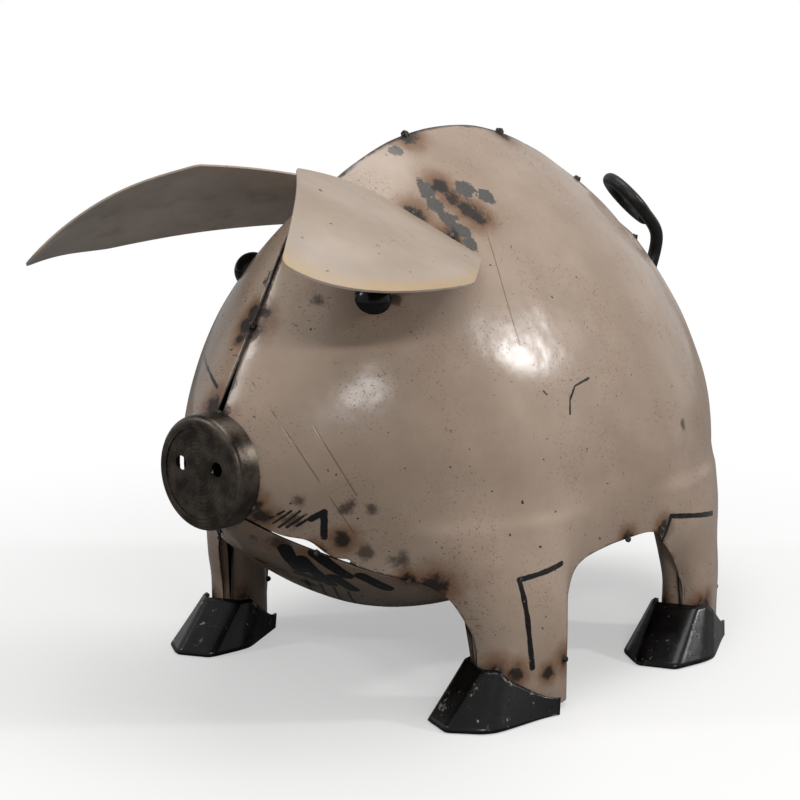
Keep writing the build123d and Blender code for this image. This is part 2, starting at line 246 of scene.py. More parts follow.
def leg_local(name, x, y, z):
    """Distances across and along a leg from its middle, and its half sizes, at points."""
    rows, turn, _ = LEGS[name]
    found = hermite(rows[:, 0], rows[:, 1:], z)
    dx, dy = x - found[..., 0], y - found[..., 1]
    c, s = math.cos(turn), math.sin(turn)
    return dx * c + dy * s, dy * c - dx * s, found[..., 2], found[..., 3]


def leg_field(name, x, y, z):
    """Negative inside a leg."""
    across, along, half_x, half_y = leg_local(name, x, y, z)
    q = (np.abs(across / half_x) ** LEG_POWER + np.abs(along / half_y) ** LEG_POWER) ** (1 / LEG_POWER)
    return (q - 1) * half_x + np.maximum(z - LEG_CAP, 0) * LEG_CAP_SLOPE


def soft_min(a, b, k):
    """The lesser of two values, rounded where they are within k."""
    h = np.clip(0.5 + 0.5 * (b - a) / k, 0, 1)
    return b + (a - b) * h - k * h * (1 - h)


def side_field(x, y, z):
    """About the distance outside the side panel."""
    d, steepest = 0.5, 400
    slope_y = (side_x(y + d, z) - side_x(y - d, z)) / (2 * d)
    slope_z = (side_x(y, z + d) - side_x(y, z - d)) / (2 * d)
    return (x - side_x(y, z)) / np.sqrt(1 + np.minimum(slope_y ** 2 + slope_z ** 2, steepest))


def skin_field(x, y, z):
    """Negative inside the left half of the body and its legs, which flow into the side panel."""
    legs = np.minimum(leg_field("front", x, y, z), leg_field("rear", x, y, z))
    return soft_min(side_field(x, y, z), legs, LEG_BLEND)


def panel_margin(x, y, z):
    """Distance to the cut edge of the side panel, positive on the sheet."""
    edge_z = station(y)[4]
    slit = sum(lift * np.exp(-((y - place) / length) ** 2) for place, length, lift in MOUTH_SLIT)
    above = z - edge_z - EDGE_GAP - slit
    flap = np.full_like(x, -50.0)
    body = side_field(x, y, z)
    for name in LEGS:
        across = leg_local(name, x, y, z)[0]
        reach = body - leg_field(name, x, y, z) + FLAP_REACH
        flap = np.maximum(flap, np.minimum(across - FLAP_INSET, reach))
    margin = -soft_min(-above, -flap, FLAP_BLEND)
    torn = SEAM + TEAR_WIDTH * smooth((TEAR_START - y) / TEAR_LENGTH)
    return np.minimum.reduce([margin, x - torn, y - NOSE_END, RUMP_END - y, z - LEG_FOOT])


def surface_nets(values, low, step):
    """Quads on the zero surface of a grid of values."""
    shape = np.array(values.shape)
    neg = values < 0
    cells = sum(neg[i:shape[0] - 1 + i, j:shape[1] - 1 + j, k:shape[2] - 1 + k].astype(np.int8)
                for i in (0, 1) for j in (0, 1) for k in (0, 1))
    active = (cells > 0) & (cells < 8)
    index = np.full(active.shape, -1)
    corner = np.argwhere(active)
    index[tuple(corner.T)] = np.arange(len(corner))
    total, count = np.zeros((len(corner), 3)), np.zeros((len(corner), 1))
    units = np.eye(3, dtype=int)
    for axis, along in enumerate(units):
        b, c = [units[i] for i in range(3) if i != axis]
        for p in (0, 1):
            for q in (0, 1):
                start = corner + p * b + q * c
                f0, f1 = values[tuple(start.T)], values[tuple((start + along).T)]
                hit = (f0 < 0) != (f1 < 0)
                t = np.where(hit, f0 / np.where(hit, f0 - f1, 1), 0)
                total += hit[:, None] * (start + t[:, None] * along)
                count += hit[:, None]
    quads = []
    for axis, along in enumerate(units):
        b, c = units[(axis + 1) % 3], units[(axis + 2) % 3]
        grid = np.argwhere(np.ones(shape - along, bool))
        for across in (b, c):
            row = grid @ across
            grid = grid[(row > 0) & (row < (shape - 1) @ across)]
        f0, f1 = neg[tuple(grid.T)], neg[tuple((grid + along).T)]
        for sign, order in ((True, (0, 1, 2, 3)), (False, (3, 2, 1, 0))):
            at = grid[(f0 == sign) & (f1 != sign)]
            ring = [at, at - b, at - b - c, at - c]
            found = np.stack([index[tuple(r.T)] for r in ring], 1)[:, order]
            quads.append(found[(found >= 0).all(1)])
    return low + step * total / count, np.concatenate(quads)


def project(points, field, rounds):
    """Points moved onto the zero surface, and the outward directions there."""
    d, least_slope, longest_move = 0.3, 0.05, 2
    for _ in range(rounds):
        here = field(*points.T)
        grad = np.stack([(field(*(points + d * e).T) - field(*(points - d * e).T)) / (2 * d)
                         for e in np.eye(3)], 1)
        size = np.maximum((grad ** 2).sum(1), least_slope)
        points = points - np.clip(here / size, -longest_move, longest_move)[:, None] * grad
    return points, grad / np.linalg.norm(grad, axis=1, keepdims=True)


def relax(points, quads, share):
    """Points moved by a share of the way to the middle of their neighbours."""
    total, count = np.zeros_like(points), np.zeros(len(points))
    for i in range(4):
        for j in (i - 1, (i + 1) % 4):
            np.add.at(total, quads[:, i], points[quads[:, j]])
            np.add.at(count, quads[:, i], 1)
    return points + share * (total / np.maximum(count, 1)[:, None] - points)


def triangles(quads):
    return np.concatenate([quads[:, [0, 1, 2]], quads[:, [0, 2, 3]]])


def flipped(faces):
    return [f[::-1] for f in faces]


def tree_of(points, faces):
    """Search tree of a mesh in millimetres."""
    return BVHTree.FromPolygons([Vector(p) for p in points], faces)


def clip(points, tris, margin):
    """The part of a triangle mesh with a positive margin: points and polygons."""
    keep = margin > 0
    kept = keep[tris].sum(1)
    faces = [list(t) for t in tris[kept == 3]]
    points, made = list(points), {}

    def cut(a, b):
        key = (min(a, b), max(a, b))
        if key not in made:
            t = margin[a] / (margin[a] - margin[b])
            made[key] = len(points)
            points.append(points[a] + t * (points[b] - points[a]))
        return made[key]

    for tri in tris[(kept > 0) & (kept < 3)]:
        face = []
        for a, b in zip(tri, np.roll(tri, -1)):
            if keep[a]:
                face.append(a)
            if keep[a] != keep[b]:
                face.append(cut(a, b))
        faces.append(face)
    used = sorted({v for f in faces for v in f})
    renamed = {v: i for i, v in enumerate(used)}
    return np.array([points[v] for v in used]), [[renamed[v] for v in f] for f in faces]


# Slow waves and small dings of sheet that has been beaten and reused: width and depth
DENTS = ((62, 0.9), (27, 0.35))


def dents(points, normals, seed, deep):
    """Points of a sheet moved along its normals by its dents."""
    offset = Vector((seed * 7.3, seed * 3.1, seed * 5.7))
    moved = np.array([sum(noise.noise(Vector(p) / width + offset) * depth for width, depth in DENTS)
                      for p in points])
    return points + normals * (moved * deep)[:, None]


# Points and faces of the thin pieces, which the welds settle on
sheets = []


def make_piece(name, points, faces, materials, thickness, slot_name, node, floats=None):
    """A piece from millimetre points, thickened inwards where it is a sheet, riding on the pig."""
    mesh = bpy.data.meshes.new(name)
    faces = [list(map(int, f)) for f in faces]
    mesh.from_pydata((np.asarray(points) * MM).tolist(), [], faces)
    for key, values in (floats or {}).items():
        mesh.attributes.new(key, "FLOAT", "POINT").data.foreach_set("value", np.asarray(values, np.float32))
    mesh.update()
    for face in mesh.polygons:
        face.use_smooth = True
    for material in materials:
        mesh.materials.append(material)
    made = bpy.data.objects.new(name, mesh)
    scene.collection.objects.link(made)
    if thickness:
        sheets.append((np.asarray(points), faces))
        thick = made.modifiers.new("thickness", "SOLIDIFY")
        thick.thickness, thick.offset = thickness * MM, -1
        if len(materials) > 1:
            thick.material_offset, thick.material_offset_rim = 1, 1
    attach(made, "root")
    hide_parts(node)


def grid_faces(rows, columns):
    """Quads of a grid of points, row by row."""
    return [(i * columns + j, i * columns + j + 1, (i + 1) * columns + j + 1, (i + 1) * columns + j)
            for i in range(rows - 1) for j in range(columns - 1)]


# Left side panel: zero surface of the skin, cut to the sheet's outline
GRID_STEP = 3.0
GRID_SPANS = ((-7, 172), (-225, 272), (-3, 368))


def side_panel():
    """Points, faces and outward directions of the left side panel."""
    axes = [np.arange(low, high, GRID_STEP) for low, high in GRID_SPANS]
    field = skin_field(*np.meshgrid(*axes, indexing="ij"))
    skin, quads = surface_nets(field, np.array([a[0] for a in axes]), GRID_STEP)
    for _ in range(3):
        skin = project(relax(skin, quads, 0.5), skin_field, 1)[0]
    skin = project(skin, skin_field, 2)[0]
    points, faces = clip(skin, triangles(quads), panel_margin(*skin.T))
    points, out = project(points, skin_field, 1)
    return points, faces, out


panel, panel_faces, panel_out = side_panel()
mirrored = panel * (-1, 1, 1)
near_tree, far_tree = tree_of(panel, panel_faces), tree_of(mirrored, panel_faces)
# Where a pixel shows nothing, its mark goes far below the floor
NOWHERE = (0, 0, -500.0)


def seen(px, py, tree):
    """Point of a sheet, in millimetres, that a pixel of the photograph shows."""
    right, down = px - PICTURE_SIDE / 2, py - PICTURE_SIDE / 2
    way = (cam_right * right - cam_up * down) / FOCAL - cam_back
    hit = tree.ray_cast(cam_place * PER_METRE, way.normalized())[0]
    return np.array(hit or NOWHERE)


def islands(name):
    """Middles and radii, in millimetres, of the separate blobs of a CAD node."""
    bm = bmesh.new()
    bm.from_mesh(nodes[name].data)
    bmesh.ops.remove_doubles(bm, verts=bm.verts, dist=1e-6)
    left, found = set(bm.verts), []
    while left:
        stack, group = [left.pop()], []
        while stack:
            vert = stack.pop()
            group.append(vert.co * PER_METRE)
            for edge in vert.link_edges:
                other = edge.other_vert(vert)
                if other in left:
                    left.discard(other)
                    stack.append(other)
        co = np.array(group)
        middle = (co.min(0) + co.max(0)) / 2
        found.append((middle, float((co.max(0) - co.min(0)).max() / 2)))
    bm.free()
    return sorted(found, key=lambda f: tuple(f[0]))


def nearness(points, spots):
    """Distance to the nearest spot as a share of that spot's radius."""
    best = np.full(len(points), 9.0)
    for place, radius in spots:
        best = np.minimum(best, np.linalg.norm(points - np.asarray(place), axis=1) / radius)
    return best


WELDS = [n for n in nodes if "weld" in n]
weld_spots = {n: islands(n) for n in WELDS}

# Marks on the sheets, by the pixel that shows them and a radius in millimetres
burn_px = {"ear_a": (440, 186, 8), "ear_b": (477, 215, 9), "ear_c": (452, 198, 8), "ear_d": (465, 207, 8),
           "belly_tack": (433, 588, 11), "snout_low": (259, 516, 8), "rear_leg_a": (679, 584, 8),
           "rear_leg_b": (706, 604, 7), "front_hoof_a": (517, 674, 6), "front_hoof_b": (549, 673, 5),
           "spine": (409, 139, 8), "face": (262, 312, 6), "mouth": (343, 541, 7), "snout_top": (222, 405, 9)}
far_burn_px = {"face_a": (253, 311, 6), "face_b": (246, 325, 7), "face_c": (239, 338, 4),
               "snout_top": (213, 406, 9)}
bare_px = {"ear_a": (426, 189, 9), "ear_b": (466, 189, 9), "ear_c": (487, 197, 8), "ear_d": (448, 218, 8),
           "ear_e": (436, 204, 8), "ear_f": (462, 231, 7), "ear_g": (471, 243, 6), "spine": (396, 151, 6),
           "face_a": (247, 305, 7), "face_b": (262, 285, 6), "seam": (236, 345, 5), "nose": (232, 385, 5)}
# Dark smudges; the spot at the dent is painted shade, for the shade that falls in that dent
smudge_and_shade_px = {"cheek_a": (347, 507, 6), "cheek_b": (372, 509, 5), "cheek_c": (364, 553, 7),
             "scribble": (291, 520, 7), "shaded_dent": (683, 424, 5), "low_a": (300, 500, 5),
             "low_b": (400, 560, 8), "brow": (318, 300, 5), "under_eye": (395, 300, 5)}
# Strokes by the pixels of their two ends, or of each bend
squiggle_px = ((570, 414), (570, 400), (575, 386), (589, 378))
front_box_px = (((519, 580), (562, 563)), ((519, 581), (533, 668)))
rear_box_px = (((671, 516), (712, 513)), ((671, 516), (662, 541)))
chin_strokes_px = (((311, 519), (324, 512)), ((324, 512), (324, 537)))
scribble_px = (((273, 523), (291, 511)), ((279, 527), (300, 511)), ((287, 527), (306, 514)),
               ((297, 526), (312, 516)), ((270, 518), (284, 511)))
scratches_px = (((253, 383), (354, 533)), ((314, 427), (357, 496)), ((487, 232), (520, 345)))
far_stroke_px = ((204, 356), (209, 372), (217, 387))
belly_wide_px = (((240, 552), (258, 560)), ((285, 549), (300, 570)), ((302, 560), (330, 584)),
                 ((316, 554), (346, 576)), ((334, 578), (352, 589)), ((362, 577), (386, 588)),
                 ((300, 574), (316, 580)))
# A row of fine strokes along the chin: ends of the first, how far each end drops per pixel, and shifts
fine_start_px, fine_end_px = (300, 578), (307, 589)
FINE_DROPS, FINE_SHIFTS = (0.29, 0.27), range(6, 146, 14)
belly_fine_px = [tuple((x + shift, y + shift * drop)
                       for (x, y), drop in zip((fine_start_px, fine_end_px), FINE_DROPS))
                 for shift in FINE_SHIFTS]

# Axes that count in a stroke's distance: all of them, or the side view alone, across folds
SOLID = np.array((1, 1, 1))
SIDEWAYS = np.array((0, 1, 1))


def lines(pairs, half, tree, axes=SOLID, parts=1):
    """Strokes between pixels, in parts: ends in millimetres, half width and the axes that count."""
    made = []
    for a, b in pairs:
        stops = [seen(*(np.array(a) + (np.array(b) - a) * k / parts), tree) * axes for k in range(parts + 1)]
        made += [(p, q, half, axes) for p, q in zip(stops, stops[1:])]
    return made


def bends(stops):
    """Pairs of neighbours in a row of pixels."""
    return list(zip(stops, stops[1:]))


near_ink = (lines(front_box_px, 1.5, near_tree, SIDEWAYS) + lines(rear_box_px, 1.6, near_tree, SIDEWAYS)
            + lines(chin_strokes_px, 2.2, near_tree) + lines(scribble_px, 0.8, near_tree)
            + lines(bends(squiggle_px), 0.7, near_tree))
near_scratches = lines(scratches_px, 0.3, near_tree, parts=5)
far_ink = lines(bends(far_stroke_px), 1.0, far_tree)
rng = np.random.default_rng(5)


def scattered(points, count, low, high):
    """Seeded spots on a sheet, with radii between low and high."""
    picks, radii = rng.integers(0, len(points), count), rng.uniform(low, high, count)
    return [(points[i], float(r)) for i, r in zip(picks, radii)]


def by_pixel(table, tree):
    """Spots of a table of pixels and radii."""
    return [(seen(x, y, tree), r) for x, y, r in table.values()]


MARKS = ("burn", "bare", "smudge_and_shade")
BURN_SPREAD = 2.0


def marks(points, spots):
    """Vertex values for burns, bare metal, and smudges with painted shade."""
    return {mark: nearness(points, spots[mark]) for mark in MARKS}


weld_burns = [(place, radius * BURN_SPREAD) for name in WELDS for place, radius in weld_spots[name]]
near_spots = {"burn": by_pixel(burn_px, near_tree) + weld_burns, "bare": by_pixel(bare_px, near_tree),
              "smudge_and_shade": by_pixel(smudge_and_shade_px, near_tree)}
far_spots = {"burn": weld_burns + by_pixel(far_burn_px, far_tree) + scattered(mirrored, 2, 4, 7),
             "bare": scattered(mirrored, 9, 3, 8), "smudge_and_shade": scattered(mirrored, 9, 4, 9)}


def ink_distance(look, strokes, sway):
    """Node value: distance in millimetres to the nearest stroke, less its half width, with sway."""
    best = None
    where = look.node("ShaderNodeVectorMath", operation="SCALE")
    look.put(where.inputs[0], look.place)
    look.put(where.inputs["Scale"], PER_METRE)
    wobble = look.math("MULTIPLY_ADD", look.noise(9, 3, seed=8.0), sway, -sway / 2)
    for a, b, half, axes in strokes:
        span = b - a
        from_a = look.node("ShaderNodeVectorMath", operation="MULTIPLY_ADD")
        look.put(from_a.inputs[0], where.outputs[0])
        look.put(from_a.inputs[1], axes.tolist())
        look.put(from_a.inputs[2], (-a).tolist())
        dot = look.node("ShaderNodeVectorMath", operation="DOT_PRODUCT")
        look.put(dot.inputs[0], from_a.outputs[0])
        look.put(dot.inputs[1], (span / (span @ span)).tolist())
        held = look.node("ShaderNodeClamp")
        look.put(held.inputs["Value"], dot.outputs["Value"])
        along = look.node("ShaderNodeVectorMath", operation="SCALE")
        look.put(along.inputs[0], span.tolist())
        look.put(along.inputs["Scale"], held.outputs[0])
        away = look.node("ShaderNodeVectorMath", operation="DISTANCE")
        look.put(away.inputs[0], from_a.outputs[0])
        look.put(away.inputs[1], along.outputs[0])
        gap = look.math("SUBTRACT", away.outputs["Value"], half)
        best = gap if best is None else look.math("MINIMUM", best, gap)
    return look.math("ADD", best, wobble)


# Colours of the paint and of what has happened to it; the dirt colour also lays painted shade on the belly
PALE, WARM, ROSY = srgb(178, 158, 141), srgb(158, 138, 121), srgb(176, 146, 128)
DIRT_AND_SHADE, SPECK, PIT, SCRATCH = srgb(112, 93, 76), srgb(66, 53, 44), srgb(58, 46, 38), srgb(92, 74, 60)
# The smear colour is also laid as painted shade in a dent
SMEAR_AND_SHADE, SCORCH, SOOT = srgb(48, 38, 32), srgb(112, 74, 44), srgb(22, 17, 15)
SEAM_GRIME, INK = srgb(46, 40, 37), srgb(20, 18, 18)
BARE_DARK, BARE_LIGHT = srgb(72, 69, 66), srgb(104, 100, 96)
# Short streaks in three directions: turn, and stretch along the turned axes
STREAKS = (((0.4, 0.2, 0.5), (0.03, 0.9, 0.9)), ((1.1, 0.7, 2.1), (0.05, 1.0, 1.0)),
           ((0.2, 1.3, 0.9), (0.12, 0.8, 0.8)))
# How far the edge of a stroke wanders, in millimetres
INK_SWAY, SCRATCH_SWAY = 1.6, 0.3


def paint_look(name, seed, pale, warm, ink=(), scratches=(), darkening=0.0, seamed=False, shine=0.35):
    """Old drum paint: clouded beige, specks, scratches, scorched welds, chips down to grey metal."""
    look = Look(name)
    cloud = look.noise(110, 5, seed=seed)
    patch = look.noise(38, 6, seed=seed + 2)
    fine = look.noise(6, 6, 0.65, seed=seed + 4)
    grit = look.noise(1.6, 3, seed=seed + 6)
    colour = look.mix(look.step(cloud, 0.35, 0.68), warm, pale)
    colour = look.coat(colour, ROSY, look.step(patch, 0.5, 0.75), 0.35)
    # Dirt in patches, and an even darkening in the same colour, which on the belly is painted shade
    colour = look.coat(colour, DIRT_AND_SHADE, look.math("ADD", look.step(patch, 0.55, 0.85), darkening), 0.45)
    specks = look.math("MULTIPLY", look.step(grit, 0.62, 0.7), look.step(patch, 0.38, 0.6))
    colour = look.coat(colour, SPECK, specks, 0.7)
    colour = look.coat(colour, PIT, look.step(look.noise(4.5, 2, seed=seed + 9), 0.7, 0.735))
    streaks = 0.0
    for turn, stretch in STREAKS:
        streak = look.step(look.noise(1.1, 1, 0.4, (turn, stretch), seed + turn[0]), 0.69, 0.72)
        streaks = look.math("MAXIMUM", streaks, streak)
    streaks = look.math("MULTIPLY", streaks, look.step(patch, 0.44, 0.56))
    if scratches:
        drawn = look.fall(ink_distance(look, scratches, SCRATCH_SWAY), 0.0, 0.35)
        streaks = look.math("MAXIMUM", streaks, drawn)
    colour = look.coat(colour, SCRATCH, streaks, 0.6)
    burn, bare, smudge_and_shade = (look.node("ShaderNodeAttribute", attribute_name=m).outputs["Fac"] for m in MARKS)
    ragged = look.math("MULTIPLY_ADD", look.noise(9, 6, 0.7, seed=seed + 11), 2.4, -1.2)
    # Dark smudge colour, which at the dent is painted shade
    smear_and_shade = look.fall(look.math("ADD", smudge_and_shade, ragged), 0.4, 1.2)
    colour = look.coat(colour, SMEAR_AND_SHADE, smear_and_shade, 0.8)
    halo = look.fall(look.math("MULTIPLY_ADD", ragged, 0.7, burn), 0.8, 2.4)
    colour = look.coat(colour, SCORCH, halo, 0.75)
    if seamed:
        across = look.math("MULTIPLY", look.math("ABSOLUTE", look.parts(look.place)["X"]), PER_METRE)
        grime = look.fall(look.math("MULTIPLY_ADD", ragged, 2.2, across), 1.0, 3.4)
        colour = look.coat(colour, SEAM_GRIME, grime, 0.85)
    chip = look.fall(look.math("ADD", bare, ragged), 0.78, 0.92)
    colour = look.coat(colour, look.mix(grit, BARE_DARK, BARE_LIGHT), chip)
    soot = look.fall(look.math("ADD", burn, ragged), 0.5, 1.1)
    colour = look.coat(colour, SOOT, soot, 0.93)
    if ink:
        stroke = look.fall(ink_distance(look, ink, INK_SWAY), -0.15, 0.35)
        colour = look.coat(colour, INK, stroke, look.step(fine, 0.28, 0.4))
    rough = look.math("MULTIPLY_ADD", patch, 0.24, 0.12)
    rough = look.math("MULTIPLY_ADD", look.math("MAXIMUM", soot, smear_and_shade), 0.3, rough)
    height = look.math("MULTIPLY_ADD", chip, -0.6, look.math("MULTIPLY", fine, 0.35))
    height = look.math("MULTIPLY_ADD", streaks, -0.4, height)
    height = look.math("MULTIPLY_ADD", soot, look.math("MULTIPLY", grit, 1.5), height)
    dings = look.bump(look.noise(30, 2, 0.45, seed=seed + 15), 0.0016, 0.6)
    return look.finish(Base_Color=colour, Roughness=rough, Metallic=0.0, Specular_IOR_Level=shine,
                       Normal=look.bump(height, 0.0003, 0.6, dings))


def steel_look(name, dark, light, size, roughness, metallic, grain, shine=0.5):
    """Mottled metal or paint: two clouded colours, fine marks and uneven gloss."""
    look = Look(name)
    cloud = look.noise(size, 6)
    fine = look.noise(size * 0.12, 5, seed=3.0)
    colour = look.mix(look.step(cloud, 0.35, 0.7), dark, light)
    colour = look.coat(colour, dark, look.step(fine, 0.58, 0.7), 0.7)
    gloss = look.math("MULTIPLY_ADD", cloud, 0.3, roughness - 0.15)
    return look.finish(Base_Color=colour, Roughness=gloss, Metallic=metallic, Specular_IOR_Level=shine,
                       Normal=look.bump(fine, grain))


def hoof_look():
    """Black paint with pale chips and scuffs."""
    look = Look("hoof_black")
    cloud, fine, flake = look.noise(16, 6), look.noise(2.2, 4, seed=2.0), look.noise(7, 5, 0.7, seed=5.0)
    chips = look.math("MULTIPLY", look.step(flake, 0.6, 0.64), look.step(cloud, 0.45, 0.6))
    colour = look.mix(look.step(cloud, 0.3, 0.7), srgb(6, 5, 5), srgb(16, 15, 15))
    colour = look.coat(colour, srgb(120, 114, 108), look.step(fine, 0.68, 0.74), 0.6)
    colour = look.coat(colour, srgb(150, 142, 130), chips)
    gloss = look.math("MULTIPLY_ADD", cloud, 0.3, 0.1)
    return look.finish(Base_Color=colour, Roughness=gloss, Metallic=0.0, Specular_IOR_Level=0.3,
                       Normal=look.bump(look.math("SUBTRACT", cloud, chips), 0.0006, 0.5))


# The left ear's own axes and root; the right ear's paint mirrors them
EAR_ALONG, EAR_ACROSS, EAR_ROOT = (0.242, -0.970, 0.034), (0.870, 0.201, -0.451), Vector((48, -61, 294))
# Round front edge of the ear in those axes, and the run past its middle over which it turns yellow
EDGE_CENTRE, EDGE_RADIUS, EDGE_RUN = (134.2, 11.6), 70.9, 35.0


def ear_look():
    """Drum paint, yellowed along the ear's front edge, and its duller underside."""
    look = Look("ear_paint")
    cloud, patch = look.noise(70, 5, seed=3.0), look.noise(24, 6, seed=5.0)
    grit = look.noise(1.6, 3, seed=7.0)
    normal = look.node("ShaderNodeNewGeometry").outputs["True Normal"]
    upper = look.step(look.parts(normal)["Z"], -0.15, 0.15)
    top = look.mix(look.step(cloud, 0.35, 0.68), srgb(156, 139, 122), srgb(174, 157, 142))
    top = look.coat(top, srgb(178, 146, 110), look.step(patch, 0.55, 0.8), 0.4)
    top = look.coat(top, srgb(70, 56, 46), look.step(grit, 0.68, 0.74), 0.7)
    place = look.parts(look.place)
    mirrored_x = look.math("ABSOLUTE", place["X"])
    spans = []
    for axis, middle in zip((EAR_ALONG, EAR_ACROSS), EDGE_CENTRE):
        reach = look.math("MULTIPLY", mirrored_x, PER_METRE * axis[0])
        reach = look.math("MULTIPLY_ADD", place["Y"], PER_METRE * axis[1], reach)
        reach = look.math("MULTIPLY_ADD", place["Z"], PER_METRE * axis[2], reach)
        spans.append(look.math("SUBTRACT", reach, EAR_ROOT @ Vector(axis) + middle))
    rim = look.math("SQRT", look.math("ADD", *[look.math("POWER", span, 2.0) for span in spans]))
    aged = look.step(look.math("MULTIPLY_ADD", patch, 10.0, rim), EDGE_RADIUS - 8, EDGE_RADIUS + 5)
    aged = look.math("MULTIPLY", aged, look.step(look.math("ADD", *spans), 0.0, EDGE_RUN))
    top = look.coat(top, srgb(176, 146, 100), aged, 0.7)
    top = look.coat(top, srgb(88, 58, 42), look.step(look.noise(5, 2, seed=9.0), 0.69, 0.71))
    low = look.mix(look.step(cloud, 0.3, 0.7), srgb(150, 137, 125), srgb(184, 172, 160))
    low = look.coat(low, srgb(112, 94, 78), look.step(patch, 0.5, 0.8), 0.6)
    gloss = look.math("MULTIPLY_ADD", patch, 0.3, 0.25)
    return look.finish(Base_Color=look.mix(upper, low, top), Metallic=0.0, Roughness=gloss,
                       Normal=look.bump(patch, 0.0008, 0.5))


# Height of the snout's axis in metres, and turning marks in radians per metre of radius
SNOUT_AXIS, TURNING = 0.158, 2600.0


def snout_look():
    """Dark steel with faint turning marks round the snout's axis."""
    look = Look("snout_steel")
    place = look.parts(look.place)
    rise = look.math("SUBTRACT", place["Z"], SNOUT_AXIS)
    squares = [look.math("POWER", way, 2.0) for way in (place["X"], rise)]
    radius = look.math("SQRT", look.math("ADD", *squares))
    turned = look.math("SINE", look.math("MULTIPLY", radius, TURNING))
    cloud, fine = look.noise(14, 6), look.noise(1.5, 4, seed=2.0)
    colour = look.mix(look.step(cloud, 0.35, 0.68), srgb(60, 53, 47), srgb(104, 95, 86))
    colour = look.coat(colour, srgb(44, 37, 31), look.step(fine, 0.55, 0.7), 0.6)
    colour = look.mix(look.math("MULTIPLY_ADD", turned, 0.12, 0.12), colour, srgb(30, 26, 23))
    gloss = look.math("MULTIPLY_ADD", cloud, 0.25, 0.25)
    ridges = look.math("MULTIPLY_ADD", turned, 0.25, fine)
    return look.finish(Base_Color=colour, Metallic=0.9, Roughness=gloss,
                       Normal=look.bump(ridges, 0.0002, 0.5))


near_paint = paint_look("drum_paint_near", 0.0, PALE, WARM, near_ink, near_scratches, seamed=True)
far_paint = paint_look("drum_paint_far", 31.0, PALE, WARM, far_ink, seamed=True)
# The leg sheets are laid evenly darker
leg_paint = paint_look("drum_paint_legs", 44.0, PALE, WARM, darkening=0.3)
inside = steel_look("drum_inside", srgb(46, 38, 33), srgb(84, 72, 62), 30, 0.6, 0.4, 0.0002)

# Side panels
near_points = dents(panel, panel_out, 1, 1.0)
make_piece("left_side_sheet", near_points, panel_faces, [near_paint, inside], SHEET, "painted_sheet",
           "left_side_panel", marks(panel, near_spots))
far_points = dents(mirrored, panel_out * (-1, 1, 1), 4, 1.0)
make_piece("right_side_sheet", far_points, flipped(panel_faces), [far_paint, inside], SHEET,
           "painted_sheet", "right_side_panel", marks(mirrored, far_spots))

# Belly sheet from chin to rump, inside the panels' lower edges
BELLY_INSET, BELLY_LEAST, BELLY_LIFT = 2.2, 0.4, 0.3
BELLY_Y = np.concatenate([np.linspace(-208, 250, 88), np.linspace(251, 258.6, 12)])
BELLY_U = np.linspace(-1, 1, 49)
# Daylight shows through the mouth slit, so the belly is open behind it: middle and half size in x and y
OPENING = ((-76, 36), (-45, 27))


def belly_sheet():
    """Points and quads of the belly before its opening is cut."""
    _, _, _, edge_x, edge_z, belly_z, _, power = (column[:, None] for column in station(BELLY_Y))
    x = np.maximum(edge_x - BELLY_INSET, BELLY_LEAST) * BELLY_U
    y = BELLY_Y[:, None] + 0 * BELLY_U
    z = belly_z + (edge_z - belly_z) * np.abs(BELLY_U) ** power + BELLY_LIFT
    return np.stack([x, y, z], 2).reshape(-1, 3), flipped(grid_faces(len(BELLY_Y), len(BELLY_U)))


belly, belly_quads = belly_sheet()
belly_tree = tree_of(belly, belly_quads)
belly_ink = lines(belly_wide_px, 5.0, belly_tree) + lines(belly_fine_px, 1.0, belly_tree)
# The belly's paint: its darker colours and heavier dirt coat are painted shade for the down-facing sheet;
# its ink strokes are print
shaded_belly_paint = paint_look("drum_paint_belly_shaded", 57.0, srgb(138, 120, 106), srgb(112, 96, 83), belly_ink,
                         darkening=0.4, shine=0.12)
outside_opening = sum(((belly[:, i] - middle) / half) ** 2 for i, (middle, half) in enumerate(OPENING)) - 1
belly, belly_faces = clip(belly, triangles(np.array(belly_quads)), outside_opening)
belly_spots = {"burn": weld_burns, "bare": scattered(belly, 8, 3, 7), "smudge_and_shade": scattered(belly, 14, 4, 10)}
belly_out = np.tile((0, 0, -1.0), (len(belly), 1))
make_piece("belly_sheet", dents(belly, belly_out, 7, 0.7), belly_faces, [shaded_belly_paint, inside], SHEET,
           "belly_sheet", "belly_panel", marks(belly, belly_spots))

# Inner half of each leg and its hoof
LEG_ANGLES = np.radians(np.linspace(76, 284, 45))
LEG_TUCK, LEG_TOP, LEG_RINGS = 1.4, 122, 36
BODY_OVERLAP = 0.5
HOOF_TOP, HOOF_FALL, HOOF_PLAY, HOOF_SHEET = 32.0, 22.0, 1.4, 1.6
HOOF_RINGS, HOOF_LIFT, TOE_SPLAY = 13, 0.2, 2
# Folds of a hoof's collar and toe, and the ends of the wrap, as shares of the half sizes
COLLAR_CORNER, TOE_CORNER, HEEL = 0.62, 0.42, 0.5
# From the toe at 0 to the heel at 1: where the rim begins to fall, and where the flare begins to fade
# and how much of it is lost
FALL_START, FLARE_START, FLARE_LOSS = 0.4, 0.45, 0.85
hoof_black = hoof_look()


def outline(half_x, half_y, angle, power):
    """Distances across and along, at an angle, of rounded rectangles."""
    c, s = np.cos(angle), np.sin(angle)
    return half_x * np.sign(c) * np.abs(c) ** (2 / power), half_y * np.sign(s) * np.abs(s) ** (2 / power)


def placed(centre, turn, across, along, side):
    """Points x and y, on one side of the pig, of distances across and along a turned leg."""
    x = centre[0] + across * math.cos(turn) - along * math.sin(turn)
    y = centre[1] + across * math.sin(turn) + along * math.cos(turn)
    return side * x, y


